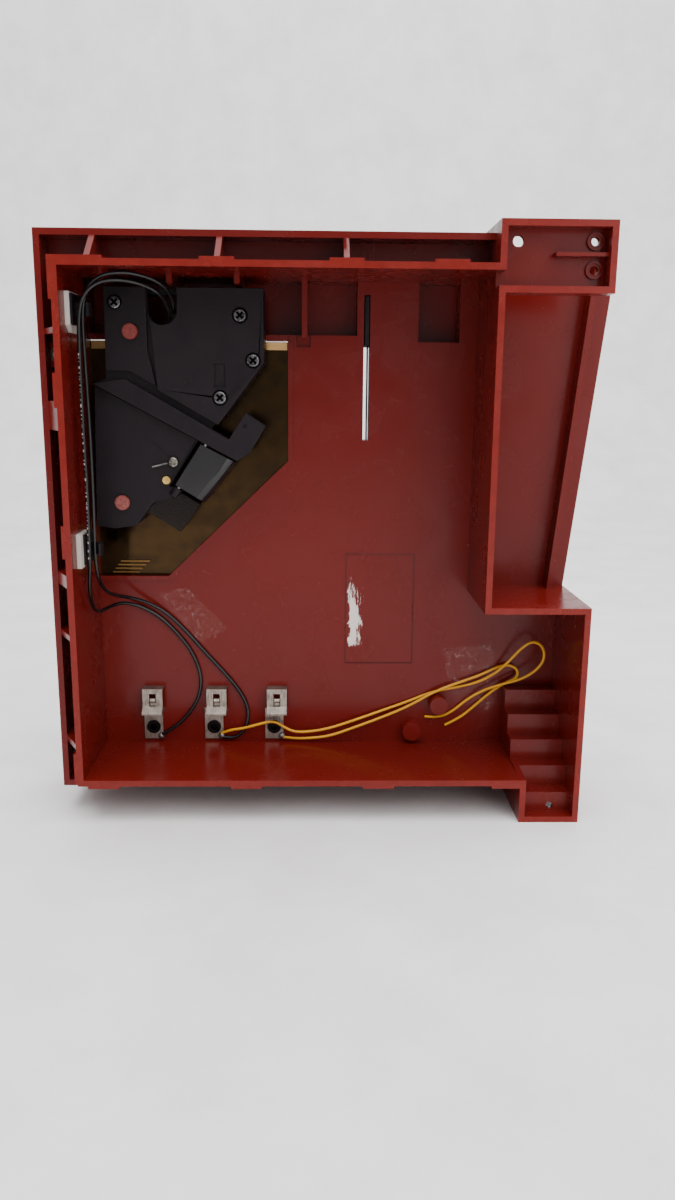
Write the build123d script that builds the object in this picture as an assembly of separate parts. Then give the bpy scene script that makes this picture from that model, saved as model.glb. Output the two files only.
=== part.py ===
from build123d import *
import math
import os

os.makedirs("parts", exist_ok=True)

# Rear half-open casing of a small ticket vending machine. +X is right as seen from the open service side,
# +Y points to the customer side, +Z is up. The origin is at the middle of the footprint, on the table.
# A "depth" below is measured from the open rim, towards the customer side.

# ---- driving dimensions, mm ----
case_width = 230.6
case_height = 239.0
case_depth = 62.0
wall = 2.5
plate_depth = 47.0          # rim to the inner face of the front plate
skirt_setback = 12.8        # outer skirt starts this far behind the rim
side_channel = 6.7          # gap between the skirt and the inner box
channel_depth = 26.0        # rim to the channel's web; behind it the channel is open to the customer side
inner_top = 223.5           # top of the inner box
floor_bottom = 16.3
skirt_top = 235.8
skirt_bottom = 11.4
alcove_left = 59.6          # left face of the wall between main box and alcove
alcove_bottom = 92.4
alcove_top = 213.0
lug_right = 103.1
lug_floor = 8.0             # depth of the screw lug's floor
block_right = 102.5
block_left = 77.4
first_riser = 6.7           # depth of the lowest riser
tread = 7.95
riser = 8.8
riser_base = 10.7           # height of the lowest tread
riser_count = 5
header_right = 11.5
header_floor = 197.0
pocket_depth = 59.5         # inner depth of the coin header and ticket pocket
slit_x = 13.1
slit_width = 2.6
slit_bottom = 156.0
slit_top = 216.0
well_right = -20.2
well_bottom = 96.0
well_chamfer = 51.0
lug_hole_r = 2.1
screw_hole_r = 1.6
foot_hole_r = 1.55
contact_pitch = 27.6
contact_first = -82.2        # middle of the left contact's rivet
contact_lean = (0.6, 1.8, 1.4)   # each contact stands this far right of its rivet
rivet_z = 25.7
rivet_r = 2.2
stud_r = 3.1
channel_screw_place = (-109.5, 189.7)
fit_gap = 0.1               # radial clearance of plain holes over studs
run_gap = 0.05              # radial clearance of running pins
side_gap = 0.3              # clearance between bodies that move past each other
gold_thickness = 1.5
button_travel = 3.6
gate_swing = 20.0
black_wire_d = 1.6
yellow_wire_d = 1.2

rim_y = -case_depth / 2
left = -case_width / 2
inner_left = left + wall + side_channel
cavity_left = inner_left + wall
plate_back = plate_depth + wall
gold_front = plate_back + gold_thickness


def y_at(depth):
    return rim_y + depth


def slab(x0, x1, d0, d1, z0, z1):
    return Pos((x0 + x1) / 2, y_at((d0 + d1) / 2), (z0 + z1) / 2) * Box(x1 - x0, d1 - d0, z1 - z0)


def face_prism(outline, d0, d1):
    face = make_face(Polyline(*outline, close=True))
    return extrude(Plane.XZ.offset(-y_at(d1)) * face, amount=d1 - d0)


def side_prism(outline, x0, x1):
    face = make_face(Polyline(*[(y_at(d), z) for d, z in outline], close=True))
    return extrude(Plane.YZ.offset(x0) * face, amount=x1 - x0)


def top_prism(outline, z0, z1):
    face = make_face(Polyline(*[(x, y_at(d)) for x, d in outline], close=True))
    return extrude(Plane.XY.offset(z0) * face, amount=z1 - z0)


def post(x, z, d0, d1, r):
    return Pos(x, y_at((d0 + d1) / 2), z) * Rot(90, 0, 0) * Cylinder(r, d1 - d0)


def save(shape, name):
    if not isinstance(shape, (Part, Compound, Solid)):
        shape = Compound(children=list(shape))
    shape.label = name
    export_step(shape, f"parts/{name}.step")
    print(name, round(shape.volume, 1))


# ---- places of the coin mechanism, as (x, z) on the front plate ----
mech_face = 28.0            # depth of the mechanism's cover face
mech_back = plate_depth - 0.2
mech_top = 216.4
upper_stud = (-82.9, 199.3)
lower_stud = (-88.8, 130.5)
cover_screw_places = [(-88.7, 210.5), (-38.9, 205.9), (-33.8, 188.4), (-47.4, 173.6)]
spring_screw_place = (-67.2, 147.4)
brass_pin_place = (-70.1, 140.0)
notch_x = -70.0
notch_z = 208.0
notch_r = 6.0
base_outline = [(-93.0, mech_top), (-29.5, mech_top), (-29.5, 187.5), (-45.0, 167.0), (-56.5, 157.0),
                (-69.3, 137.1), (-75.9, 130.7), (-83.6, 120.8), (-92.6, 119.5), (-100.0, 120.7),
                (-98.4, 179.0), (-93.8, 181.0)]
cover_outline = [(-76.0, mech_top), (-29.5, mech_top), (-29.5, 187.5), (-48.4, 162.7), (-72.5, 176.5)]
rail_outline = [(-98.4, 178.8), (-85.3, 180.7), (-43.9, 156.9), (-36.8, 167.6), (-28.8, 162.5),
                (-35.3, 151.5), (-40.7, 148.2)]
lower_outline = [(-98.4, 178.2), (-100.0, 120.7), (-92.6, 119.5), (-83.6, 120.8), (-75.9, 130.7),
                 (-69.3, 137.1), (-57.6, 156.6)]
gate_outline = [(-55.5, 154.8), (-41.3, 147.4), (-54.3, 130.8), (-66.4, 138.2)]
outlet_outline = [(-69.3, 137.1), (-57.0, 129.6), (-65.6, 117.6), (-79.3, 126.3), (-75.9, 130.7)]
gate_front = 27.0
gate_back = 40.0
gate_axis_depth = 28.6
gate_pin_r = 0.8
gate_inset = 1.6            # hinge axis in from the gate's left edge
gate_along = (Vector(-55.5, 0, 154.8) - Vector(-66.4, 0, 138.2)).normalized()
gate_across = Vector(gate_along.Z, 0, -gate_along.X)
gate_foot = Vector(-66.4, y_at(gate_axis_depth), 138.2) + gate_across * gate_inset
gate_length = (Vector(-55.5, 0, 154.8) - Vector(-66.4, 0, 138.2)).length
button_place = gate_foot + gate_along * 10.0 + gate_across * 11.0
button_x, button_z = button_place.X, button_place.Z
button_stem_r = 2.0
button_cap_r = 7.0


def rod_between(a, b, r):
    axis = b - a
    return Plane(origin=a + axis * 0.5, z_dir=axis) * Cylinder(r, axis.length)


# ---- casing: one red moulding ----
well_outline = [(cavity_left, well_bottom), (well_right - well_chamfer - 2.0, well_bottom),
                (well_right, well_bottom + well_chamfer), (well_right, header_floor),
                (cavity_left, header_floor)]


def stair_surface():
    points = [(first_riser, wall)]
    for step in range(riser_count):
        depth = first_riser + step * tread
        points.append((depth, riser_base + step * riser))
        points.append((depth + tread, riser_base + step * riser))
    points[-1] = (plate_back, points[-1][1])
    return points


def make_stair():
    upper = stair_surface()
    lower = [(d + wall, z - wall) for d, z in upper[1:]]
    lower[-1] = (plate_back, lower[-1][1])
    shell = side_prism([(first_riser, 0.0)] + upper + lower[::-1] + [(first_riser + wall, 0.0)],
                       block_left + wall / 2, block_right - wall / 2)
    cheek = side_prism([(0.0, 0.0), (0.0, floor_bottom + wall), (first_riser, floor_bottom + wall)]
                       + [(d, z) for d, z in upper if z > floor_bottom + wall]
                       + [(plate_back, 0.0)], block_left, block_left + wall)
    return shell + cheek


def make_lug():
    lug = slab(alcove_left, lug_right, lug_floor, lug_floor + wall, alcove_top, case_height)
    lug += slab(alcove_left, lug_right, 0, lug_floor + wall, case_height - wall, case_height)
    lug += slab(lug_right - wall, lug_right, 0, lug_floor + wall, alcove_top, case_height)
    lug += slab(alcove_left, lug_right, 0, lug_floor + wall, alcove_top, alcove_top + wall)
    lug += slab(81.0, lug_right, 3.0, lug_floor + 1, 226.5, 227.9)
    for z in (232.3, 222.0):
        lug += post(96.6, z, lug_floor - 1.2, lug_floor + 1, 3.3)
    return lug


def make_channel_ribs():
    ribs = []
    for x in (-93.0, -45.0, 3.0):
        ribs.append(side_prism([(0.8, inner_top - 1), (0.8, inner_top), (skirt_setback, skirt_top - wall),
                                (plate_back, skirt_top - 1), (plate_back, inner_top - 1)], x - 1.1, x + 1.1))
    for low, high in ((197.0, 199.2), (161.0, 172.0), (99.5, 104.5), (78.0, 80.2), (32.0, 34.2)):
        ribs.append(top_prism([(inner_left + 1, 0.8), (inner_left, 0.8), (left + wall, skirt_setback),
                               (left + 1, plate_back), (inner_left + 1, plate_back)], low, high))
    for x in (-95.4, -36.6, 18.2, 68.0):
        ribs.append(slab(x - 1.1, x + 1.1, skirt_setback, plate_back, skirt_bottom + 1, floor_bottom + 1))
    ribs.append(slab(left + 1, inner_left + 1, 20.0, plate_back, 185.0, 194.4))
    return ribs


def make_rim_pads():
    pads = [slab(inner_left, -87.0, 0, 11.0, inner_top - 1, inner_top + 1.1)]
    for x in (-45.0, 3.0, 42.0):
        pads.append(slab(x - 6.5, x + 6.5, 0, 11.0, inner_top - 1, inner_top + 1.1))
    for x in (-95.4, -36.6, 18.2, 72.0):
        pads.append(slab(x - 6.5, x + 6.5, 0, 11.0, floor_bottom - 1.1, floor_bottom + 1))
    pads.append(slab(inner_left - 1.1, inner_left + 1, 0, 11.0, 209.0, inner_top + 1.1))
    for z in (176.0, 118.0, 24.0):
        pads.append(slab(inner_left - 1.1, inner_left + 1, 0, 11.0, z - 6.5, z + 6.5))
    return pads


def make_casing():
    body = slab(inner_left, cavity_left, 0, plate_back, floor_bottom, inner_top)
    body += slab(inner_left, alcove_left + wall, 0, plate_back, inner_top - wall, inner_top)
    body += slab(inner_left, block_left + wall, 0, plate_back, floor_bottom, floor_bottom + wall)
    body += slab(alcove_left, alcove_left + wall, 0, plate_back, alcove_bottom - wall, alcove_top + wall)
    body += slab(alcove_left, alcove_left + wall, 0, plate_back, inner_top - wall, case_height)
    body += slab(alcove_left, alcove_left + wall, lug_floor, plate_back, alcove_top, inner_top)
    body += slab(alcove_left, block_right, 0, plate_back, alcove_bottom - wall, alcove_bottom)
    body += slab(block_right - wall, block_right, 0, plate_back, 0, alcove_bottom)
    body += slab(block_left, block_right, 0, first_riser + wall, 0, wall)
    body += make_stair()
    body += slab(left, left + wall, skirt_setback, plate_back, skirt_bottom, skirt_top)
    body += slab(left, alcove_left + wall, skirt_setback, plate_back, skirt_top - wall, skirt_top)
    body += slab(left, block_left + wall, skirt_setback, plate_back, skirt_bottom, skirt_bottom + wall)
    stair_top = riser_base + (riser_count - 1) * riser
    body += face_prism([(left, skirt_bottom), (left, skirt_top), (case_width / 2, skirt_top),
                        (case_width / 2, alcove_top + wall),
                        (block_right, alcove_bottom), (block_right, stair_top - wall),
                        (block_left, stair_top - wall), (block_left, skirt_bottom)], plate_depth, plate_back)
    body -= slab(left + wall, inner_left, plate_depth - 1, plate_back + 1, 30.0, skirt_top - wall)
    body -= slab(left + wall, alcove_left, plate_depth - 1, plate_back + 1, inner_top, skirt_top - wall)
    body += slab(left + 1, inner_left + 1, channel_depth, channel_depth + wall, skirt_bottom + 1, skirt_top - 1)
    body += slab(left + 1, alcove_left + 1, channel_depth, channel_depth + wall, inner_top - 1, skirt_top - 1)
    body += face_prism([(93.1, alcove_bottom - 1), (95.5, alcove_bottom - 1), (109.2, skirt_top),
                        (106.6, skirt_top)], plate_depth - 8.7, plate_depth + 1)
    body += make_lug()
    # front plinth, open underneath
    plinth = slab(left, block_left + wall, plate_depth, case_depth, 0, 30.0)
    plinth -= slab(left + wall, block_left, plate_depth - 1, case_depth - wall, -1, 30.0 - wall)
    plinth += slab(left + wall, block_left, plate_depth, plate_back, skirt_bottom, 30.0)
    body += plinth
    # coin header and ticket pocket, both deeper than the front plate
    header = slab(inner_left, header_right, plate_depth, case_depth, header_floor, inner_top)
    header -= slab(cavity_left, header_right - wall, plate_depth - 1, pocket_depth,
                   header_floor + wall, inner_top - wall)
    body -= slab(cavity_left, header_right - wall, plate_depth - 1, plate_back + 1,
                 header_floor + wall, inner_top - wall)
    body += header
    body += slab(32.2, 54.8, plate_depth, case_depth, 194.6, inner_top)
    body -= slab(34.8, 52.3, plate_depth - 1, pocket_depth, 197.1, inner_top - wall)
    for x in (-92.8, -66.2, -39.6):
        body += slab(x - 1.1, x + 1.1, 24.0, pocket_depth + 1, inner_top - wall - 3.4, inner_top - 1)
    body += slab(-14.2, -12.0, 38.0, pocket_depth + 1, header_floor + 1, inner_top - 1)
    body -= slab(-16.7, -10.6, plate_depth - 1, plate_depth + 1.6, 194.7, header_floor + wall + 0.1)
    # well for the coin mechanism with its raised lip
    lip = face_prism([(cavity_left - 1, well_bottom - 2), (well_right - well_chamfer - 1.2, well_bottom - 2),
                      (well_right + 2, well_bottom + well_chamfer - 0.8), (well_right + 2, header_floor),
                      (cavity_left - 1, header_floor)], plate_depth - 1.0, plate_depth + 1)
    body += lip
    body -= face_prism(well_outline, plate_depth - 2, plate_back + 1)
    # ticket slit, label recess, hanging pegs, rivet holes
    body -= slab(slit_x - slit_width / 2, slit_x + slit_width / 2, plate_depth - 1, plate_back + 1,
                 slit_bottom, slit_top)
    body -= slab(5.2, 35.6, plate_depth - 1, plate_depth + 0.4, 55.9, 106.1)
    body += post(48.0, 37.2, 41.0, plate_depth + 1, 4.1)
    body += post(36.0, 24.9, 41.0, plate_depth + 1, 4.3)
    for index in range(3):
        body -= post(contact_first + index * contact_pitch, rivet_z, plate_depth - 1, plate_back + 0.1,
                     rivet_r + fit_gap)
    body += post(upper_stud[0], upper_stud[1], mech_face - 0.8, case_depth - 1, stud_r)
    for piece in make_channel_ribs() + make_rim_pads():
        body += piece
    # fastening holes
    body -= post(67.6, 232.2, lug_floor - 1, lug_floor + wall + 1, lug_hole_r)
    for z in (232.3, 222.0):
        body -= post(96.6, z, lug_floor - 2, lug_floor + wall + 1, screw_hole_r)
        body -= post(96.6, z, lug_floor - 2, lug_floor - 0.5, 2.4)
    body -= post(91.9, 4.6, first_riser - 1, first_riser + wall + 1, foot_hole_r)
    body -= post(channel_screw_place[0], channel_screw_place[1], 19.0, 29.0, 1.25)
    return body


# ---- coin mechanism ----
def notch(d0, d1):
    return post(notch_x, notch_z, d0, d1, notch_r) + slab(notch_x - notch_r, notch_x + notch_r, d0, d1,
                                                          notch_z, mech_top + 1)


def make_base():
    body = face_prism(base_outline, mech_face + 3.0, mech_back)
    inner = offset(make_face(Polyline(*base_outline, close=True)), amount=-2.0)
    body -= extrude(Plane.XZ.offset(-y_at(mech_back + 1)) * inner, amount=mech_back + 1 - (mech_face + 5.0))
    body += post(upper_stud[0], upper_stud[1], mech_face + 3.0, mech_back, stud_r + 2.5)
    body += post(lower_stud[0], lower_stud[1], mech_face + 3.0, mech_back, stud_r + 2.5)
    for x, z in cover_screw_places:
        body += post(x, z, mech_face + 3.0, mech_face + 12.0, 3.2)
        body -= post(x, z, mech_face + 2.0, mech_face + 10.0, 1.25)
    body -= post(upper_stud[0], upper_stud[1], mech_face, mech_back + 1, stud_r + fit_gap)
    body -= post(lower_stud[0], lower_stud[1], mech_face, mech_back + 1, stud_r - 0.6 + fit_gap)
    body -= post(spring_screw_place[0], spring_screw_place[1], mech_face, mech_face + 9.0, 1.0)
    body -= post(brass_pin_place[0], brass_pin_place[1], mech_face, mech_face + 9.0, 1.7)
    body -= notch(mech_face, mech_face + 10.0)
    left_top = face_prism([(-93.0, mech_top), (-76.4, mech_top), (-76.4, 192.0), (-73.4, 178.0),
                           (-84.0, 184.0), (-93.4, 184.0)], mech_face + 1.2, mech_face + 3.2)
    left_top -= post(upper_stud[0], upper_stud[1], mech_face, mech_face + 4, stud_r + fit_gap)
    left_top -= post(cover_screw_places[0][0], cover_screw_places[0][1], mech_face, mech_face + 4, 1.25)
    return body + left_top


def make_cover():
    cover = face_prism(cover_outline, mech_face, mech_face + 3.0)
    cover -= notch(mech_face - 1, mech_face + 4.0)
    for x, z in cover_screw_places[1:]:
        cover -= post(x, z, mech_face - 1, mech_face + 4, 1.6)
        cover -= post(x, z, mech_face - 1, mech_face + 0.9, 3.1)
    cover -= slab(-49.6, -45.2, mech_face - 1, mech_face + 1.2, 177.5, 187.3)
    return cover


def make_rail():
    rail = face_prism(rail_outline, mech_face - 2.0, mech_face + 3.0)
    rail -= face_prism(cover_outline, mech_face - 0.02, mech_face + 3.1)
    rail -= rod_between(gate_foot, gate_foot + gate_along * (gate_length + 4.0), gate_pin_r)
    rail -= post(-37.3, 162.4, mech_face - 3, mech_face - 1.2, 0.9)
    return rail


def make_lower_plate():
    lower = face_prism(lower_outline, mech_face + 1.5, mech_face + 3.0)
    ear = rod_between(gate_foot - gate_along * 4.6, gate_foot - gate_along * 0.8, 2.0)
    strap = face_prism([(-69.3, 137.1), (-66.6, 137.2), (-68.6, 132.4), (-75.9, 130.7)],
                       mech_face + 1.5, mech_face + 3.0)
    lower += strap
    lower += ear
    lower -= rod_between(gate_foot - gate_along * 5.6, gate_foot + gate_along * 2, gate_pin_r)
    lower -= post(lower_stud[0], lower_stud[1], mech_face, mech_face + 4, stud_r - 0.6 + fit_gap)
    lower -= post(brass_pin_place[0], brass_pin_place[1], mech_face, mech_face + 4, 1.7)
    lower -= post(spring_screw_place[0], spring_screw_place[1], mech_face, mech_face + 4, 1.0)
    return lower


def make_gate():
    gate = face_prism(gate_outline, gate_front, gate_back)
    edges = gate.edges().filter_by(lambda e: abs(e.length - gate_length) < 3.0)
    outer = sorted(edges, key=lambda e: (e @ 0.5).X - (e @ 0.5).Y)[-1]
    gate = fillet(outer, 4.0)
    gate -= rod_between(gate_foot - gate_along * 5, gate_foot + gate_along * (gate_length + 5),
                        gate_pin_r + run_gap)
    return gate


def make_outlet():
    face = make_face(Polyline(*outlet_outline, close=True))
    outer = extrude(Plane.XZ.offset(-y_at(44.0)) * face, amount=11.0)
    inner = extrude(Plane.XZ.offset(-y_at(45.0)) * offset(face, amount=-1.2), amount=10.8)
    return outer - inner


def pan_screw(x, z, head_depth, head_r, length, shank_r):
    head = post(x, z, head_depth - 1.9, head_depth, head_r)
    head = fillet(head.edges().sort_by(Axis.Y)[0], 0.9)
    screw = head + post(x, z, head_depth - 0.5, head_depth + length, shank_r)
    for turn in (45, 135):
        blade = Box(head_r * 1.3, 1.2, 0.95)
        screw -= Pos(x, y_at(head_depth - 1.7), z) * Rot(0, turn, 0) * blade
    return screw


def make_runway():
    return face_prism([(-90.0, 181.5), (-53.5, 169.0), (-54.3, 166.2), (-90.8, 178.7)], mech_face + 5.0, 46.0)


# ---- coin switch inside the mechanism ----
switch_left = -76.0
switch_bottom = 190.2
switch_length = 20.0
lever_pivot = (switch_left + 0.6, 188.25)
plunger_x = switch_left + 6.0


def make_switch():
    body = slab(switch_left, switch_left + switch_length, mech_face + 5.0, mech_face + 13.0,
                switch_bottom, switch_bottom + 6.4)
    body += slab(switch_left - 1.0, switch_left - 0.2 + 1.6, mech_face + 5.0, mech_face + 6.5, 186.6, switch_bottom + 1)
    body += slab(switch_left - 1.0, switch_left - 0.2 + 1.6, mech_face + 11.5, mech_face + 13.0, 186.6,
                 switch_bottom + 1)
    body -= post(lever_pivot[0], lever_pivot[1], mech_face + 4, mech_face + 14, 0.5)
    body -= Pos(plunger_x, y_at(mech_face + 9.0), switch_bottom + 1.5) * Cylinder(0.95, 4.0)
    for index in range(3):
        x = switch_left + 2.5 + index * 7.0
        body += slab(x - 0.8, x + 0.8, mech_face + 8.6, mech_face + 9.0, switch_bottom + 6, switch_bottom + 9.5)
    return body


def make_switch_lever():
    x, z = lever_pivot
    lever = slab(x - 0.3, x + switch_length - 1.0, mech_face + 7.0, mech_face + 11.0, z - 0.25, z + 0.25)
    lever += post(x, z, mech_face + 4.9 + 0.2, mech_face + 13.0, 0.5 - run_gap)
    return lever


def make_switch_plunger():
    return Pos(plunger_x, y_at(mech_face + 9.0), 190.1) * Cylinder(0.9, 2.2)


# ---- customer side ----
def make_gold_plate():
    margin = 6.0
    outline = [(inner_left + 1.0, well_bottom - margin), (well_right - well_chamfer + 2, well_bottom - margin),
               (well_right + margin, well_bottom + well_chamfer - 2), (well_right + margin, header_floor - 0.4),
               (inner_left + 1.0, header_floor - 0.4)]
    plate = face_prism(outline, plate_back, gold_front)
    plate += side_prism([(plate_back, 193.4), (plate_back + 0.1, 193.4), (plate_back + 0.1, 196.6),
                         (plate_back - 1.1, 196.6)], cavity_left + 0.3, well_right - 0.3)
    for index in range(4):
        z = 102.1 - index * 1.63
        plate += side_prism([(plate_back, z - 0.35), (plate_back + 0.1, z - 0.35),
                             (plate_back + 0.1, z + 0.5), (plate_back - 0.5, z + 0.5)],
                            -94.8 - index * 1.2, -82.0 - index * 1.6)
    plate -= post(lower_stud[0], lower_stud[1], plate_back - 1, gold_front + 1, stud_r - 0.6 + fit_gap)
    plate -= post(button_x, button_z, plate_back - 1, gold_front + 1, button_stem_r + fit_gap)
    plate -= slab(-63.4, -60.6, plate_back - 1, gold_front + 1, 170.0, 193.4)
    plate -= post(upper_stud[0], upper_stud[1], plate_back - 2, gold_front + 1, stud_r + fit_gap)
    return plate


def make_bezel():
    bezel = slab(-98.0, -36.0, gold_front, gold_front + 4.0, 122.0, 195.5)
    bezel = fillet(bezel.edges().filter_by(Axis.Y), 5.0)
    bezel -= slab(-63.4, -60.6, gold_front - 1, gold_front + 5, 170.0, 192.0)
    bezel -= post(button_x, button_z, gold_front - 1, gold_front + 5, button_cap_r + side_gap)
    bezel += post(lower_stud[0], lower_stud[1], mech_face + 0.5, gold_front + 1, stud_r - 0.6)
    bezel += post(lower_stud[0], lower_stud[1], mech_face + 0.2, mech_face + 1.5, stud_r)
    return bezel


def make_button():
    cap = post(button_x, button_z, gold_front + 4.6, gold_front + 8.6, button_cap_r)
    cap = fillet(cap.edges().sort_by(Axis.Y)[-1], 1.2)
    return cap + post(button_x, button_z, gate_back + 1.4, gold_front + 5.0, button_stem_r)


def coil(x, z, d0, d1, mean_r, wire_r, turns):
    path = Helix(pitch=(d1 - d0 - 2 * wire_r) / turns, height=d1 - d0 - 2 * wire_r, radius=mean_r)
    start = path @ 0
    section = Plane(origin=start, z_dir=path % 0) * Circle(wire_r)
    spring = sweep(section, path)
    return Pos(x, y_at(d1 - wire_r), z) * Rot(90, 0, 0) * spring


def make_slit_guide():
    guide = slab(6.5, 19.7, plate_back, plate_back + 6.0, 150.0, 196.6)
    guide += slab(header_right + 0.1, 19.7, plate_back, plate_back + 6.0, 196.0, 219.0)
    guide -= slab(slit_x - 1.2, slit_x + 1.2, plate_back - 1, plate_back + 7.0, slit_bottom, 195.0)
    guide += slab(slit_x - 0.9, slit_x + 0.9, plate_depth + 0.2, plate_back + 1, 195.4, slit_top - 0.4)
    return guide


def make_slit_blade():
    return slab(slit_x + 0.15, slit_x + 0.75, plate_back + 0.4, plate_back + 5.4, slit_bottom, 195.0)


# ---- docking contacts ----
def make_contact(rivet_x, x):
    half = 4.5
    foot = slab(rivet_x - 4.2, rivet_x + 4.2, plate_depth - 0.8, plate_depth, 19.8, 34.5)
    foot -= post(rivet_x, rivet_z, plate_depth - 2, plate_depth + 1, rivet_r + fit_gap)
    shelf = slab(x - half, x + half, 38.2, plate_depth, 33.7, 34.5)
    lip = side_prism([(38.2, 33.7), (38.2, 34.6), (41.2, 36.8), (42.0, 36.8), (42.0, 35.9), (40.1, 34.4),
                      (40.1, 33.7)], x - half, x + half)
    arm = slab(x - half, x + half, 41.2, 42.0, 36.4, 45.0)
    arm -= slab(x - 1.5, x + 1.5, 40.0, 43.0, 36.8, 42.8)
    back = slab(x - half, x + half, 41.2, plate_depth, 44.2, 45.0)
    return foot + shelf + lip + arm + back


def make_tongue(x):
    tongue = slab(x - 1.2, x + 1.2, 42.6, 43.0, 34.9, 39.4)
    return tongue + Pos(x, y_at(42.4), 39.4) * Rot(0, 90, 0) * Cylinder(1.15, 2.4)


def make_rivet(x):
    rivet = post(x, rivet_z, plate_depth - 1.5, plate_depth - 0.8, 3.1)
    rivet += post(x, rivet_z, plate_depth - 1.5, plate_back - 0.1, rivet_r)
    return rivet - post(x, rivet_z, plate_depth - 2, plate_back - 0.9, 1.5)


def make_solder(x):
    blob = Pos(x + 3.5, y_at(plate_depth - 0.9), 21.4) * Sphere(1.6)
    blob &= slab(x, x + 4.6, plate_depth - 4, plate_depth - 0.8, 20.0, 27)
    return blob - post(x, rivet_z, plate_depth - 4, plate_depth, 3.15)


# ---- cable clips on the left wall ----
pad_thickness = 1.8


def make_clip(z0, z1, depth):
    wall_x = cavity_left + pad_thickness
    middle = (z0 + z1) / 2
    clip = slab(wall_x, wall_x + 0.9, depth, depth + 14.0, z0, z1)
    clip += slab(wall_x + 0.5, wall_x + 6.8, depth + 5.2, depth + 6.4, middle - 2.6, middle + 2.6)
    clip += slab(wall_x + 5.8, wall_x + 6.8, depth + 1.2, depth + 6.4, middle - 2.6, middle + 2.6)
    return clip


def make_pad(outline):
    return side_prism(outline, cavity_left, cavity_left + pad_thickness)


# ---- wires: tubes along routes of straight runs and tangent arcs ----
black_left_route = [(-67.2, 31, 204.6), (-67.2, 24.5, 210.4), (-70.8, 18.2, 214.2), (-76.4, 14.2, 216.4),
                    (-82.8, 11.2, 217.2), (-89.6, 9.2, 216.6), (-95.2, 8.8, 213.0), (-98.6, 9.2, 206.0),
                    (-99.0, 9.8, 188.0), (-99.2, 10.6, 160.0), (-98.9, 11, 136.0), (-99.4, 12, 118.0),
                    (-99.8, 13.2, 106.0), (-101.4, 17, 97.0), (-102.0, 22, 89.0), (-101.4, 28.5, 83.4),
                    (-98.8, 35, 83.8), (-94.2, 40.6, 85.2), (-88.4, 44.4, 83.6), (-82.0, 45.8, 80.4),
                    (-76.2, 46, 76.2), (-70.4, 46, 70.2), (-64.6, 46, 62.8), (-61.0, 46, 54.6),
                    (-59.8, 45.8, 46.6), (-61.6, 45.2, 38.8), (-66.0, 44.8, 32.0), (-71.6, 44.8, 26.2),
                    (-78.2, 45.2, 22.2)]
black_right_route = [(-65.4, 31, 206.8), (-65.4, 25, 213.2), (-69.4, 18.6, 217.4), (-75.6, 13.6, 219.4),
                     (-82.4, 10.8, 220.0), (-89.4, 10.2, 218.9), (-95.0, 10.9, 214.9), (-97.9, 11.9, 206.6),
                     (-97.7, 12.5, 188.0), (-97.2, 13.3, 160.0), (-97.3, 13.7, 136.0), (-97.7, 14.4, 118.0),
                     (-98.0, 15.8, 106.0), (-97.8, 20.4, 98.4), (-96.6, 26, 93.2), (-94.4, 32.4, 90.2),
                     (-89.9, 38.6, 88.0), (-83.8, 43.2, 85.2), (-77.0, 45.6, 81.2), (-70.6, 46, 75.6),
                     (-63.6, 46, 68.0), (-56.8, 46, 59.8), (-49.8, 46, 52.0), (-43.6, 46, 44.4),
                     (-39.6, 45.9, 37.2), (-38.6, 45.4, 31.0), (-40.0, 44.9, 25.6), (-43.2, 44.8, 21.6),
                     (-47.0, 45.0, 20.4), (-50.6, 45.3, 21.0)]
yellow_upper_route = [(-51.3, 45.5, 22.6), (-47.0, 44.2, 24.8), (-41.6, 43.0, 25.7), (-34.6, 42.2, 28.0),
                      (-27.2, 42.2, 29.9), (-22.6, 42.6, 26.8), (-18.4, 43.0, 24.3), (-12.2, 43.2, 24.0),
                      (-2.0, 43.4, 25.6), (10.0, 44.0, 29.6),
                      (22.4, 45.2, 33.8), (34.0, 46.0, 37.8), (45.6, 46.3, 42.6), (56.4, 46.2, 44.6),
                      (66.0, 45.4, 47.2), (73.6, 43.4, 52.2), (79.0, 41.0, 58.6), (83.6, 39.0, 65.2),
                      (88.6, 38.0, 69.0), (93.2, 37.9, 66.4), (94.4, 38.2, 60.6), (91.0, 39.0, 54.8),
                      (84.6, 40.0, 50.4), (76.6, 41.8, 47.6), (68.4, 44.0, 44.0), (61.2, 45.6, 39.0),
                      (55.4, 46.2, 33.4), (48.8, 46.3, 29.8), (42.2, 46.2, 30.6)]
yellow_lower_route = [(-23.6, 45.5, 20.9), (-17.4, 44.6, 20.4), (-10.6, 43.4, 21.0), (-1.6, 42.8, 22.2),
                      (10.2, 43.4, 26.4), (22.8, 44.2, 31.0), (34.8, 44.5, 36.2), (45.8, 44.4, 43.0),
                      (56.6, 44.6, 47.2), (66.6, 45.2, 50.6), (73.4, 45.4, 54.0), (79.2, 45.0, 56.0),
                      (83.9, 44.4, 53.9), (83.6, 44.2, 49.6), (78.4, 44.4, 47.4), (72.2, 45.2, 43.0),
                      (64.6, 46.0, 35.4), (58.2, 46.3, 29.6), (51.6, 46.3, 26.4)]


def wire(name, route, diameter):
    points = [Vector(x, y_at(d), z) for x, d, z in route]
    radii = []
    for a, b, c in zip(points, points[1:], points[2:]):
        turn = math.radians((b - a).get_angle(c - b))
        radii.append(0.45 * min((b - a).length, (c - b).length) / math.tan(turn / 2))
    path = FilletPolyline(*points, radius=radii)
    section = Plane(origin=path @ 0, z_dir=path % 0) * Circle(diameter / 2)
    tube = sweep(section, path)
    print(name, "length", round(path.length, 1), "least radius", round(min(radii), 1),
          "volume ratio", round(tube.volume / (path.length * math.pi * diameter ** 2 / 4), 4))
    return tube


def make_film(outline):
    return face_prism(outline, plate_depth - 0.15, plate_depth)


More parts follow.
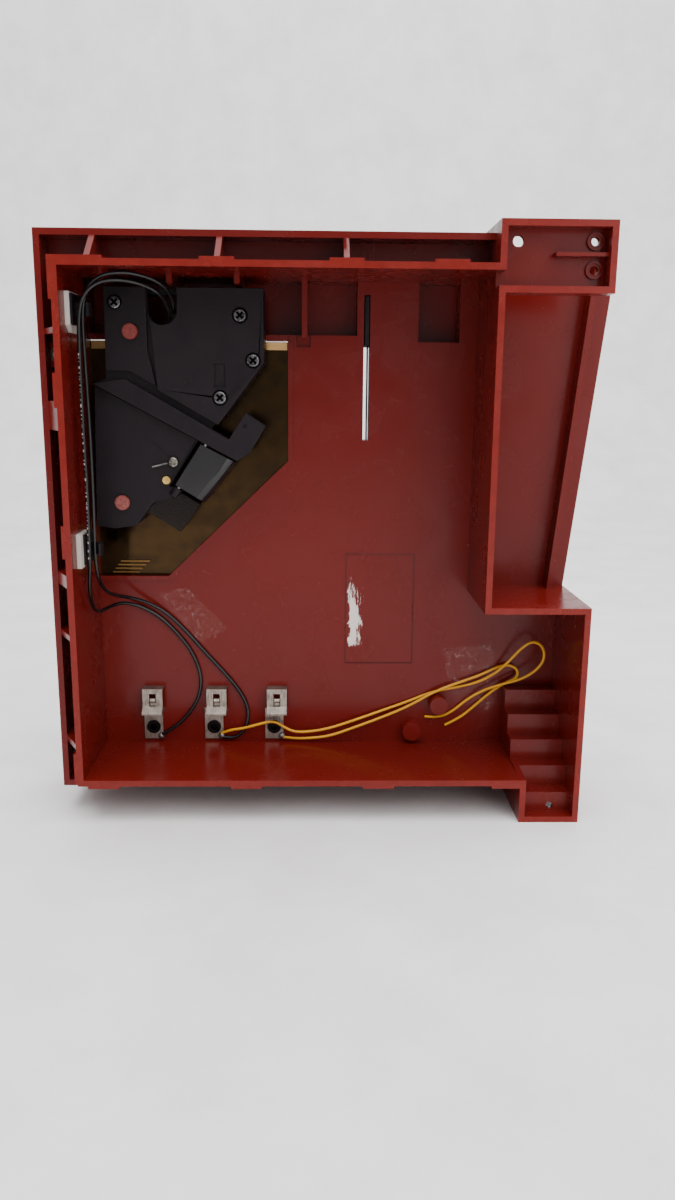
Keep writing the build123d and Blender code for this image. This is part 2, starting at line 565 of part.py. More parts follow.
save(make_casing(), "casing")
save(make_gold_plate(), "coin_plate")
save(make_bezel(), "coin_bezel")
save(make_button(), "return_button")
save(coil(button_x, button_z, gold_front + 0.05, gold_front + 4.55, 3.4, 0.35, 3.5), "return_spring")
save(make_base(), "mech_base")
save(make_cover(), "mech_cover")
save(make_rail(), "mech_rail")
save(make_lower_plate(), "mech_lower_plate")
save(make_gate(), "coin_gate")
save(rod_between(gate_foot - gate_along * 4.4, gate_foot + gate_along * (gate_length + 3.6), gate_pin_r),
     "gate_hinge_pin")
save(make_outlet(), "coin_outlet")
save(make_runway(), "coin_runway")
save(Compound(children=[pan_screw(x, z, mech_face + (1.2 if i == 0 else 0.9), 2.75, 8.0, 1.2)
                        for i, (x, z) in enumerate(cover_screw_places)]), "cover_screws")
save(pan_screw(spring_screw_place[0], spring_screw_place[1], mech_face + 1.5, 2.2, 6.0, 0.95), "spring_screw")
save(post(brass_pin_place[0], brass_pin_place[1], mech_face - 0.4, mech_face + 8.0, 1.65), "brass_pin")
save(rod_between(Vector(-76.0, y_at(mech_face + 1.0), 145.4), Vector(-69.6, y_at(mech_face + 0.6), 147.0), 0.4),
     "gate_spring")
save(make_switch(), "coin_switch")
save(make_switch_lever(), "switch_lever")
save(make_switch_plunger(), "switch_plunger")
save(make_slit_guide(), "ticket_guide")
save(make_slit_blade(), "ticket_blade")
for side, index in (("left", 0), ("middle", 1), ("right", 2)):
    place = contact_first + index * contact_pitch
    save(make_contact(place, place + contact_lean[index]), f"contact_{side}")
    save(make_tongue(place + contact_lean[index]), f"contact_tongue_{side}")
save(Compound(children=[make_rivet(contact_first + i * contact_pitch) for i in range(3)]), "contact_rivets")
save(Compound(children=[make_solder(contact_first + i * contact_pitch) for i in range(3)]), "contact_solder")
save(make_pad([(9.0, 200.4), (9.0, 212.8), (24.0, 212.8), (24.0, 197.8), (13.0, 197.8)]), "clip_pad_upper")
save(make_pad([(8.2, 106.2), (8.2, 120.0), (23.0, 120.0), (23.0, 106.2)]), "clip_pad_lower")
save(make_clip(200.6, 212.2, 9.6), "cable_clip_upper")
save(make_clip(106.8, 119.4, 12.0), "cable_clip_lower")
save(pan_screw(channel_screw_place[0], channel_screw_place[1], 19.2, 2.6, 8.0, 1.2), "channel_screw")
washer = post(channel_screw_place[0], channel_screw_place[1], 19.2, 20.0, 3.1)
washer -= post(channel_screw_place[0], channel_screw_place[1], 19.0, 20.2, 1.5)
save(washer, "channel_washer")
save(wire("black_wire_left", black_left_route, black_wire_d), "black_wire_left")
save(wire("black_wire_right", black_right_route, black_wire_d), "black_wire_right")
save(wire("yellow_wire_upper", yellow_upper_route, yellow_wire_d), "yellow_wire_upper")
save(wire("yellow_wire_lower", yellow_lower_route, yellow_wire_d), "yellow_wire_lower")
save(make_film([(-80.0, 88.0), (-66.0, 92.0), (-46.0, 72.0), (-60.0, 64.0)]), "tape_left")
save(make_film([(48.6, 63.0), (72.0, 66.0), (76.8, 47.0), (73.0, 32.5), (55.0, 37.0)]), "tape_right")
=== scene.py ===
import bmesh
import bpy
import math
from mathutils import Matrix, Vector, noise


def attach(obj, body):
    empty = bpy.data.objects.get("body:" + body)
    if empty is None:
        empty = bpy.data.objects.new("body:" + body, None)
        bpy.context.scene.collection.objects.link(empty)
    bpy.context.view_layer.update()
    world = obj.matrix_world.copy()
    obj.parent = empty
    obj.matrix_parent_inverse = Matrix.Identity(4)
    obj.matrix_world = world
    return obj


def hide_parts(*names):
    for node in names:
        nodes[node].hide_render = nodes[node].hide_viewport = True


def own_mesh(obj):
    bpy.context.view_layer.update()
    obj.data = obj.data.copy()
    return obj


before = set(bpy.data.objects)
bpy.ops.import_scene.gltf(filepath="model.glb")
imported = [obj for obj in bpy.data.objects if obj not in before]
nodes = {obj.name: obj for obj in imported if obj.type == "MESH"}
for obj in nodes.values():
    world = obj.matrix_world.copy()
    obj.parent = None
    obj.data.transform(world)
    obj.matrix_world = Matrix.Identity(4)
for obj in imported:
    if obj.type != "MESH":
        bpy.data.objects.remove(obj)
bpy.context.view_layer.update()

mm = 0.001
rimY = -31.0  # the open rim's place along Y; a depth is measured from it towards the customer side
mixA, mixB, mixed = 6, 7, 2  # the colour sockets of a Mix node


def at(x, depth, z):
    return Vector((x * mm, (rimY + depth) * mm, z * mm))


def toLinear(hexColour):
    channels = [int(hexColour[i:i + 2], 16) / 255 for i in (1, 3, 5)]
    linear = [c / 12.92 if c <= 0.04045 else ((c + 0.055) / 1.055) ** 2.4 for c in channels]
    return (*linear, 1.0)


def addNode(tree, kind, inputs=None, stops=None, **settings):
    node = tree.nodes.new(kind)
    for name, value in settings.items():
        setattr(node, name, value)
    for name, value in (inputs or {}).items():
        if isinstance(value, bpy.types.NodeSocket):
            tree.links.new(value, node.inputs[name])
        else:
            node.inputs[name].default_value = value
    if stops:  # (place, colour) pairs of a colour ramp
        ramp = node.color_ramp.elements
        while len(ramp) < len(stops):
            ramp.new(0.5)
        for element, (place, colour) in zip(ramp, stops):
            element.position = place
            element.color = toLinear(colour)
    return node


def newMaterial(name, **settings):
    material = bpy.data.materials.new(name)
    material.use_nodes = True
    tree = material.node_tree
    shader = tree.nodes["Principled BSDF"]
    for socket, value in settings.items():
        shader.inputs[socket.replace("_", " ")].default_value = value
    place = addNode(tree, "ShaderNodeTexCoord").outputs["Object"]
    return material, tree, shader, place


def perMillimetre(sizes):
    return tuple(1 / (size * mm) for size in sizes)


# red casing: ABS, injection moulded, a clean saturated red with a soft broad sheen, scuffed by handling
redAbs = {
    "colour": "#62100C", "faded": "#5A1410", "scuff": "#8A4238", "rimTone": "#762018",
    # the step colour and the step width give a painted shade, a dark line along the label recess's step
    "step": "#300806", "stud": "#9A6660", "residue": "#D9CFC8", "roughness": 0.22,
    # places and sizes from here on are in millimetres
    "cloud": 38.0, "sinkMark": 22.0, "flow": 14.0, "grain": 0.35, "grainDepth": 0.008,
    "scuffStroke": (0.7, 2.0, 5.0), "scuffPatch": 26.0, "rimBand": (0.9, 0.1), "rimPatch": 4.0,
    "plateDepth": 46.5, "residueCrumb": (0.8, 2.0, 4.5), "residuePatch": 5.0, "residueWander": 7.0,
    # residue starts at the first value and is full at the second
    "residueLeft": (9.6, 10.6), "residueRight": (17.4, 12.4), "residueLow": (63.0, 65.0),
    "residueHigh": (99.0, 80.0),
    "recessMiddle": (20.4, 81.0), "recessHalf": (15.2, 25.1), "stepShadeWidth": (0.5, 0.15),
    "studs": ((-82.9, 199.3, 0.45), (-88.8, 130.5, 0.75)),  # X, Z and how pale it is
    "studFade": (3.6, 2.4), "studDepth": 30.0, "studMelt": 1.3,
}


def makeRedAbs():
    material, tree, shader, place = newMaterial("mouldedRedAbs", IOR=1.5, Specular_IOR_Level=0.2)
    split = addNode(tree, "ShaderNodeSeparateXYZ", {0: place})
    normal = addNode(tree, "ShaderNodeNewGeometry").outputs["Normal"]
    facing = addNode(tree, "ShaderNodeSeparateXYZ", {0: normal})
    cloud = addNode(tree, "ShaderNodeTexNoise", {"Vector": place, "Scale": 1 / (redAbs["cloud"] * mm),
                    "Detail": 4.0})
    cloudy = addNode(tree, "ShaderNodeMix", {"Factor": cloud.outputs["Fac"],
                     mixA: toLinear(redAbs["colour"]), mixB: toLinear(redAbs["faded"])}, data_type="RGBA")
    # handling scuffs: fine short strokes, mostly slanting
    turned = addNode(tree, "ShaderNodeMapping", {"Vector": place, "Rotation": (0.0, 0.9, 0.0),
                     "Scale": perMillimetre(redAbs["scuffStroke"])})
    strokes = addNode(tree, "ShaderNodeTexNoise", {"Vector": turned.outputs[0], "Scale": 1.0, "Detail": 2.0})
    patches = addNode(tree, "ShaderNodeTexNoise", {"Vector": place,
                      "Scale": 1 / (redAbs["scuffPatch"] * mm), "Detail": 3.0})
    worn = addNode(tree, "ShaderNodeMath", {0: strokes.outputs["Fac"], 1: patches.outputs["Fac"]},
                   operation="MULTIPLY")
    scuffs = addNode(tree, "ShaderNodeMapRange", {"Value": worn.outputs[0], "From Min": 0.40,
                     "From Max": 0.48, "To Max": 0.16})
    scuffed = addNode(tree, "ShaderNodeMix", {"Factor": scuffs.outputs[0], mixA: cloudy.outputs[mixed],
                      mixB: toLinear(redAbs["scuff"])}, data_type="RGBA")
    # a lighter red in noisy patches over the open rim's front faces
    rimDeep, rimShallow = redAbs["rimBand"]
    rim = addNode(tree, "ShaderNodeMapRange", {"Value": split.outputs["Y"],
                  "From Min": (rimY + rimDeep) * mm, "From Max": (rimY + rimShallow) * mm})
    rimNoise = addNode(tree, "ShaderNodeTexNoise", {"Vector": place,
                       "Scale": 1 / (redAbs["rimPatch"] * mm), "Detail": 5.0})
    rimMask = addNode(tree, "ShaderNodeMath", {0: rim.outputs[0], 1: rimNoise.outputs["Fac"]},
                      operation="MULTIPLY")
    rimmed = addNode(tree, "ShaderNodeMix", {"Factor": rimMask.outputs[0], mixA: scuffed.outputs[mixed],
                     mixB: toLinear(redAbs["rimTone"])}, data_type="RGBA")
    # white adhesive where a label was pulled off the front plate: torn slanting streaks, thicker low down
    wander = addNode(tree, "ShaderNodeTexNoise", {"Vector": place,
                     "Scale": 1 / (redAbs["residuePatch"] * mm), "Detail": 4.0})
    sideways = addNode(tree, "ShaderNodeMath", {0: wander.outputs["Fac"],
                       1: redAbs["residueWander"] * mm, 2: split.outputs["X"]}, operation="MULTIPLY_ADD")
    limits = []
    for value, side in ((sideways.outputs[0], "residueLeft"), (sideways.outputs[0], "residueRight"),
                        (split.outputs["Z"], "residueLow"), (split.outputs["Z"], "residueHigh")):
        start, full = redAbs[side]
        limits.append(addNode(tree, "ShaderNodeMapRange", {"Value": value, "From Min": start * mm,
                              "From Max": full * mm}))
    deep = addNode(tree, "ShaderNodeMath", {0: split.outputs["Y"], 1: (rimY + redAbs["plateDepth"]) * mm},
                   operation="GREATER_THAN")
    towards = addNode(tree, "ShaderNodeMath", {0: facing.outputs["Y"], 1: -0.5}, operation="LESS_THAN")
    area = limits[0].outputs[0]
    for other in (*limits[1:], deep, towards):
        area = addNode(tree, "ShaderNodeMath", {0: area, 1: other.outputs[0]},
                       operation="MULTIPLY").outputs[0]
    crumbs = addNode(tree, "ShaderNodeMapping", {"Vector": place, "Rotation": (0.0, -0.3, 0.0),
                     "Scale": perMillimetre(redAbs["residueCrumb"])})
    crumb = addNode(tree, "ShaderNodeTexNoise", {"Vector": crumbs.outputs[0], "Scale": 1.0, "Detail": 5.0,
                    "Roughness": 0.7})
    reach = addNode(tree, "ShaderNodeMath", {0: area, 1: 0.42, 2: crumb.outputs["Fac"]},
                    operation="MULTIPLY_ADD")
    edge = addNode(tree, "ShaderNodeMapRange", {"Value": reach.outputs[0], "From Min": 0.70,
                   "From Max": 0.80})
    within = addNode(tree, "ShaderNodeMath", {0: area, 1: 0.02}, operation="GREATER_THAN")
    residue = addNode(tree, "ShaderNodeMath", {0: edge.outputs[0], 1: within.outputs[0]},
                      operation="MULTIPLY")
    # painted shade: a thin dark line along the label recess's step
    spans = []
    for axis, middle, half in zip("XZ", redAbs["recessMiddle"], redAbs["recessHalf"]):
        span = addNode(tree, "ShaderNodeMath", {0: split.outputs[axis], 1: -middle * mm}, operation="ADD")
        size = addNode(tree, "ShaderNodeMath", {0: span.outputs[0]}, operation="ABSOLUTE")
        spans.append(addNode(tree, "ShaderNodeMath", {0: size.outputs[0], 1: -half * mm}, operation="ADD"))
    outside = addNode(tree, "ShaderNodeMath", {0: spans[0].outputs[0], 1: spans[1].outputs[0]},
                      operation="MAXIMUM")
    outside = addNode(tree, "ShaderNodeMath", {0: outside.outputs[0]}, operation="ABSOLUTE")
    stepStart, stepFull = redAbs["stepShadeWidth"]
    line = addNode(tree, "ShaderNodeMapRange", {"Value": outside.outputs[0], "From Min": stepStart * mm,
                   "From Max": stepFull * mm, "To Max": 0.55})
    step = addNode(tree, "ShaderNodeMath", {0: line.outputs[0], 1: deep.outputs[0]}, operation="MULTIPLY")
    stepShaded = addNode(tree, "ShaderNodeMix", {"Factor": step.outputs[0], mixA: rimmed.outputs[mixed],
                      mixB: toLinear(redAbs["step"])}, data_type="RGBA")
    # heat-staked stud ends turned pale and pinkish
    flat = addNode(tree, "ShaderNodeCombineXYZ", {"X": split.outputs["X"], "Z": split.outputs["Z"]})
    fadeStart, fadeFull = redAbs["studFade"]
    discs = []
    for x, z, amount in redAbs["studs"]:
        away = addNode(tree, "ShaderNodeVectorMath", {0: flat.outputs[0], 1: (x * mm, 0.0, z * mm)},
                       operation="DISTANCE")
        discs.append(addNode(tree, "ShaderNodeMapRange", {"Value": away.outputs["Value"],
                             "From Min": fadeStart * mm, "From Max": fadeFull * mm, "To Max": amount}))
    proud = addNode(tree, "ShaderNodeMath", {0: split.outputs["Y"], 1: (rimY + redAbs["studDepth"]) * mm},
                    operation="LESS_THAN")
    melt = addNode(tree, "ShaderNodeTexNoise", {"Vector": place, "Scale": 1 / (redAbs["studMelt"] * mm),
                   "Detail": 3.0})
    staked = addNode(tree, "ShaderNodeMath", {0: discs[0].outputs[0], 1: discs[1].outputs[0]},
                     operation="MAXIMUM").outputs[0]
    for other in (proud.outputs[0], melt.outputs["Fac"]):
        staked = addNode(tree, "ShaderNodeMath", {0: staked, 1: other}, operation="MULTIPLY").outputs[0]
    studded = addNode(tree, "ShaderNodeMix", {"Factor": staked, mixA: stepShaded.outputs[mixed],
                      mixB: toLinear(redAbs["stud"])}, data_type="RGBA")
    finished = addNode(tree, "ShaderNodeMix", {"Factor": residue.outputs[0], mixA: studded.outputs[mixed],
                       mixB: toLinear(redAbs["residue"])}, data_type="RGBA")
    tree.links.new(finished.outputs[mixed], shader.inputs["Base Color"])
    # gloss varies with moulding flow, and is lost where scuffed or glued
    flow = addNode(tree, "ShaderNodeTexNoise", {"Vector": place, "Scale": 1 / (redAbs["flow"] * mm),
                   "Detail": 6.0, "Distortion": 0.6})
    gloss = addNode(tree, "ShaderNodeMapRange", {"Value": flow.outputs["Fac"], "From Min": 0.3,
                    "From Max": 0.7, "To Min": redAbs["roughness"] - 0.06,
                    "To Max": redAbs["roughness"] + 0.1})
    dull = addNode(tree, "ShaderNodeMath", {0: scuffs.outputs[0], 1: residue.outputs[0]},
                   operation="MAXIMUM")
    rough = addNode(tree, "ShaderNodeMath", {0: dull.outputs[0], 1: 0.4, 2: gloss.outputs[0]},
                    operation="MULTIPLY_ADD")
    tree.links.new(rough.outputs[0], shader.inputs["Roughness"])
    # a fine tool grain, with broad sink marks, raised glue and lumpy studs, each as a multiple of it
    grain = addNode(tree, "ShaderNodeTexNoise", {"Vector": place, "Scale": 1 / (redAbs["grain"] * mm),
                    "Detail": 2.0})
    sink = addNode(tree, "ShaderNodeTexNoise", {"Vector": place, "Scale": 1 / (redAbs["sinkMark"] * mm),
                   "Detail": 1.0})
    relief = grain.outputs["Fac"]
    for layer, height in ((sink.outputs["Fac"], 8.0), (residue.outputs[0], 4.0), (staked, 60.0)):
        relief = addNode(tree, "ShaderNodeMath", {0: layer, 1: height, 2: relief},
                         operation="MULTIPLY_ADD").outputs[0]
    bump = addNode(tree, "ShaderNodeBump", {"Height": relief, "Distance": redAbs["grainDepth"] * mm,
                   "Strength": 0.5})
    tree.links.new(bump.outputs[0], shader.inputs["Normal"])
    return material


# moulded and cut finishes, told apart by colour, gloss and grain (grain and depth in millimetres)
finishes = {
    # acetal, moulded: satin purple-black with a soft broad highlight
    "mouldedBlackPom": {"colour": "#140E12", "mottle": "#191216", "rough": 0.40, "spread": 0.14,
                        "grain": 0.25, "depth": 0.008, "gloss": 0.16},
    # ABS from a polished tool: near black with a clear reflection
    "glossBlackAbs": {"colour": "#100F11", "mottle": "#161416", "rough": 0.20, "spread": 0.08,
                      "grain": 0.5, "depth": 0.004, "gloss": 0.4},
    # PVC sleeve, extruded: black with a bright thin line of light
    "extrudedBlackPvc": {"colour": "#0A090A", "mottle": "#110F10", "rough": 0.18, "spread": 0.1,
                         "grain": 0.4, "depth": 0.006, "gloss": 0.4},
    # PVC sleeve, extruded: warm deep yellow, waxy
    "extrudedYellowPvc": {"colour": "#D79A12", "mottle": "#C68408", "rough": 0.36, "spread": 0.12,
                          "grain": 0.5, "depth": 0.010, "gloss": 0.4},
    # polyethylene foam, cut: dull grey-white with open cells
    "agedFoam": {"colour": "#C4BCB4", "mottle": "#A39B94", "rough": 0.9, "spread": 0.08,
                 "grain": 0.35, "depth": 0.12, "gloss": 0.2},
    # nylon, moulded: satin red
    "mouldedRedPlunger": {"colour": "#A61C14", "mottle": "#8E1812", "rough": 0.4, "spread": 0.1,
                          "grain": 0.3, "depth": 0.006, "gloss": 0.4},
}
dust = {"colour": "#8A8480", "speck": 0.7, "amount": 0.25}
mottleSize = 9.0


def makeFinish(name):
    look = finishes[name]
    material, tree, shader, place = newMaterial(name, IOR=1.5, Specular_IOR_Level=look["gloss"])
    cloud = addNode(tree, "ShaderNodeTexNoise", {"Vector": place, "Scale": 1 / (mottleSize * mm),
                    "Detail": 5.0})
    colour = addNode(tree, "ShaderNodeMix", {"Factor": cloud.outputs["Fac"],
                     mixA: toLinear(look["colour"]), mixB: toLinear(look["mottle"])}, data_type="RGBA")
    specks = addNode(tree, "ShaderNodeTexNoise", {"Vector": place, "Scale": 1 / (dust["speck"] * mm),
                     "Detail": 3.0})
    settled = addNode(tree, "ShaderNodeMapRange", {"Value": specks.outputs["Fac"], "From Min": 0.70,
                      "From Max": 0.80, "To Max": dust["amount"]})
    dusty = addNode(tree, "ShaderNodeMix", {"Factor": settled.outputs[0], mixA: colour.outputs[mixed],
                    mixB: toLinear(dust["colour"])}, data_type="RGBA")
    tree.links.new(dusty.outputs[mixed], shader.inputs["Base Color"])
    rough = addNode(tree, "ShaderNodeMapRange", {"Value": cloud.outputs["Fac"], "From Min": 0.3,
                    "From Max": 0.7, "To Min": look["rough"] - look["spread"] / 2,
                    "To Max": look["rough"] + look["spread"]})
    tree.links.new(rough.outputs[0], shader.inputs["Roughness"])
    grain = addNode(tree, "ShaderNodeTexNoise", {"Vector": place, "Scale": 1 / (look["grain"] * mm),
                    "Detail": 3.0})
    bump = addNode(tree, "ShaderNodeBump", {"Height": grain.outputs["Fac"],
                   "Distance": look["depth"] * mm, "Strength": 0.6})
    tree.links.new(bump.outputs[0], shader.inputs["Normal"])
    return material


# metals; stretch is the size of the streaks along X, Y and Z in millimetres
metals = {
    # brass sheet, lacquered: dim olive as painted shade over the flat plate, and lighter gold on its bends
    # as a painted reflection
    "lacqueredGoldPlate": {"colour": "#3C2D1C", "tarnish": "#32261A", "rough": 0.16, "spread": 0.06,
                           "stretch": (60.0, 9.0, 9.0)},
    # screws, oxide dipped: dark with bright rubbed crests
    "blackOxideSteel": {"colour": "#6E6C6D", "tarnish": "#2C2B2C", "rough": 0.26, "spread": 0.2,
                        "stretch": (0.6, 0.6, 0.6)},
    # tubular rivet, blackened: near black with a bright ring
    "blackenedRivet": {"colour": "#2B292A", "tarnish": "#1B191A", "rough": 0.32, "spread": 0.15,
                       "stretch": (0.6, 0.6, 0.6)},
    # screws, zinc plated: pale grey, faintly yellow
    "zincPlatedSteel": {"colour": "#8A867C", "tarnish": "#5A564E", "rough": 0.30, "spread": 0.2,
                        "stretch": (0.7, 0.7, 0.7)},
    # pin, turned: pale gold with a bright end
    "turnedBrass": {"colour": "#D6B56C", "tarnish": "#9A7A3E", "rough": 0.26, "spread": 0.14,
                    "stretch": (0.4, 0.4, 0.4)},
    # music wire, drawn: grey and shiny
    "springSteel": {"colour": "#868584", "tarnish": "#555453", "rough": 0.28, "spread": 0.12,
                    "stretch": (0.5, 0.5, 0.5)},
    # strip, tinned and pressed: soft grey, slightly warm
    "tinnedSteel": {"colour": "#AAA197", "tarnish": "#857B71", "rough": 0.46, "spread": 0.15,
                    "stretch": (0.5, 0.5, 3.0)},
    # tin solder, melted: lumpy grey
    "dullSolder": {"colour": "#8F8C89", "tarnish": "#5F5C5A", "rough": 0.45, "spread": 0.2,
                   "stretch": (0.6, 0.6, 0.6)},
}
stainSize, streakDepth = 5.0, 0.01
# painted reflection on down-leaning faces: its gold, the normal Z where it starts and is full, and the
# metallic it falls to
paintedBendGlint = {"colour": "#A37E49", "lean": (-0.15, -0.28), "metallic": 0.4}
# painted shade in screw recesses: its colour, and the depths where it starts and is full
paintedRecessShade = {"colour": "#0C0B0C", "depth": (27.4, 27.6)}


def addBendGlint(tree, shader, colour, place):
    # painted reflection: the plate's bent lip and vent ribs lean down and are given a lighter, less metallic
    # gold in place of the light they reflect
    lean = addNode(tree, "ShaderNodeSeparateXYZ",
                   {0: addNode(tree, "ShaderNodeNewGeometry").outputs["Normal"]})
    upright, leant = paintedBendGlint["lean"]
    leaning = addNode(tree, "ShaderNodeMapRange", {"Value": lean.outputs["Z"], "From Min": upright,
                      "From Max": leant})
    metallic = addNode(tree, "ShaderNodeMapRange", {"Value": leaning.outputs[0], "To Min": 1.0,
                       "To Max": paintedBendGlint["metallic"]})
    tree.links.new(metallic.outputs[0], shader.inputs["Metallic"])
    return addNode(tree, "ShaderNodeMix", {"Factor": leaning.outputs[0], mixA: colour.outputs[mixed],
                   mixB: toLinear(paintedBendGlint["colour"])}, data_type="RGBA")


def addRecessShade(tree, shader, colour, place):
    # painted shade: the cross recess and the head's rim, past the given depth, are mixed to nearly black
    split = addNode(tree, "ShaderNodeSeparateXYZ", {0: place})
    clean, fullyShaded = paintedRecessShade["depth"]
    sunk = addNode(tree, "ShaderNodeMapRange", {"Value": split.outputs["Y"],
                   "From Min": (rimY + clean) * mm, "From Max": (rimY + fullyShaded) * mm})
    return addNode(tree, "ShaderNodeMix", {"Factor": sunk.outputs[0], mixA: colour.outputs[mixed],
                   mixB: toLinear(paintedRecessShade["colour"])}, data_type="RGBA")


secondTone = {"lacqueredGoldPlate": addBendGlint, "blackOxideSteel": addRecessShade}


def makeMetal(name):
    look = metals[name]
    material, tree, shader, place = newMaterial(name, Metallic=1.0)
    drawn = addNode(tree, "ShaderNodeMapping", {"Vector": place, "Scale": perMillimetre(look["stretch"])})
    streak = addNode(tree, "ShaderNodeTexNoise", {"Vector": drawn.outputs[0], "Scale": 1.0, "Detail": 4.0})
    stain = addNode(tree, "ShaderNodeTexNoise", {"Vector": place, "Scale": 1 / (stainSize * mm),
                    "Detail": 5.0})
    blend = addNode(tree, "ShaderNodeMath", {0: streak.outputs["Fac"], 1: stain.outputs["Fac"]},
                    operation="MULTIPLY")
    amount = addNode(tree, "ShaderNodeMapRange", {"Value": blend.outputs[0], "From Min": 0.18,
                     "From Max": 0.36})
    colour = addNode(tree, "ShaderNodeMix", {"Factor": amount.outputs[0], mixA: toLinear(look["colour"]),
                     mixB: toLinear(look["tarnish"])}, data_type="RGBA")
    if name in secondTone:
        colour = secondTone[name](tree, shader, colour, place)
    tree.links.new(colour.outputs[mixed], shader.inputs["Base Color"])
    rough = addNode(tree, "ShaderNodeMapRange", {"Value": streak.outputs["Fac"], "From Min": 0.3,
                    "From Max": 0.7, "To Min": look["rough"] - look["spread"] / 2,
                    "To Max": look["rough"] + look["spread"]})
    tree.links.new(rough.outputs[0], shader.inputs["Roughness"])
    bump = addNode(tree, "ShaderNodeBump", {"Height": streak.outputs["Fac"],
                   "Distance": streakDepth * mm, "Strength": 0.5})
    tree.links.new(bump.outputs[0], shader.inputs["Normal"])
    return material


# polystyrene, moulded and smoke tinted: a brown see-through box with sharp reflections
smokedStyrene = {"colour": "#1A110D", "edge": "#0C0807", "alpha": 0.66, "rough": 0.08, "spread": 0.12,
                 "cloud": 6.0, "ripple": 0.05}


def makeSmokedStyrene():
    material, tree, shader, place = newMaterial("smokedStyrene", IOR=1.5, Specular_IOR_Level=0.2,
                                                Alpha=smokedStyrene["alpha"])
    cloud = addNode(tree, "ShaderNodeTexNoise", {"Vector": place,
                    "Scale": 1 / (smokedStyrene["cloud"] * mm), "Detail": 3.0})
    colour = addNode(tree, "ShaderNodeMix", {"Factor": cloud.outputs["Fac"],
                     mixA: toLinear(smokedStyrene["colour"]), mixB: toLinear(smokedStyrene["edge"])},
                     data_type="RGBA")
    tree.links.new(colour.outputs[mixed], shader.inputs["Base Color"])
    rough = addNode(tree, "ShaderNodeMapRange", {"Value": cloud.outputs["Fac"],
                    "To Min": smokedStyrene["rough"],
                    "To Max": smokedStyrene["rough"] + smokedStyrene["spread"]})
    tree.links.new(rough.outputs[0], shader.inputs["Roughness"])
    bump = addNode(tree, "ShaderNodeBump", {"Height": cloud.outputs["Fac"],
                   "Distance": smokedStyrene["ripple"] * mm})
    tree.links.new(bump.outputs[0], shader.inputs["Normal"])
    return material


made = {"mouldedRedAbs": makeRedAbs()}
made.update({name: makeFinish(name) for name in finishes})
made.update({name: makeMetal(name) for name in metals})
made["smokedStyrene"] = makeSmokedStyrene()

wears = {
    "mouldedRedAbs": ["casing", "coin_bezel"],
    "lacqueredGoldPlate": ["coin_plate"],
    "glossBlackAbs": ["return_button", "coin_gate"],
    "mouldedBlackPom": ["mech_base", "mech_cover", "mech_rail", "mech_lower_plate", "coin_runway",
                        "coin_switch", "ticket_guide", "cable_clip_upper", "cable_clip_lower"],
    "smokedStyrene": ["coin_outlet"],
    "blackOxideSteel": ["cover_screws"],
    "blackenedRivet": ["contact_rivets", "ticket_blade"],
    "zincPlatedSteel": ["spring_screw", "channel_screw", "channel_washer"],
    "turnedBrass": ["brass_pin"],
    "springSteel": ["return_spring", "gate_hinge_pin", "gate_spring", "switch_lever"],
    "mouldedRedPlunger": ["switch_plunger"],
    "tinnedSteel": ["contact_left", "contact_middle", "contact_right", "contact_tongue_left",
                    "contact_tongue_middle", "contact_tongue_right"],
    "dullSolder": ["contact_solder"],
    "agedFoam": ["clip_pad_upper", "clip_pad_lower"],
}
for materialName, wearers in wears.items():
    for node in wearers:
        slots = nodes[node].data.materials
        if slots:
            for index in range(len(slots)):
                slots[index] = made[materialName]
        else:
            slots.append(made[materialName])

# moulded and pressed edges are a little rounded, so each catches a thin line of light (millimetres)
edges = {"casing": 0.3, "coin_bezel": 0.4, "mech_base": 0.25, "mech_cover": 0.25, "mech_rail": 0.3,
         "mech_lower_plate": 0.2, "coin_gate": 0.35, "coin_outlet": 0.15, "coin_switch": 0.3,
         "ticket_guide": 0.3, "cable_clip_upper": 0.2, "cable_clip_lower": 0.2, "clip_pad_upper": 0.15,
         "clip_pad_lower": 0.15, "contact_left": 0.1, "contact_middle": 0.1, "contact_right": 0.1,
         "coin_plate": 0.15, "contact_rivets": 0.15}
rounding = {"mergeDistance": 0.002, "segments": 2, "sharpAngle": 40}
for node, radius in edges.items():
    weld = nodes[node].modifiers.new("weld", "WELD")
    weld.merge_threshold = rounding["mergeDistance"] * mm
    bevel = nodes[node].modifiers.new("edge", "BEVEL")
    bevel.width = radius * mm
    bevel.segments = rounding["segments"]
    bevel.limit_method = "ANGLE"
    bevel.angle_limit = math.radians(rounding["sharpAngle"])
    bevel.use_clamp_overlap = True
    bevel.harden_normals = True
print("finishes on", len(nodes), "nodes")

# the return spring is held between bezel and button cap and shortens as the button goes in; here its coil is
# copied unchanged and attached to the casing
spring = bpy.data.objects.new("returnSpringCoil", nodes["return_spring"].data.copy())
spring.matrix_world = nodes["return_spring"].matrix_world
bpy.context.scene.collection.objects.link(spring)
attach(spring, "casing")
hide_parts("return_spring")
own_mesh(spring)
print("return spring set")

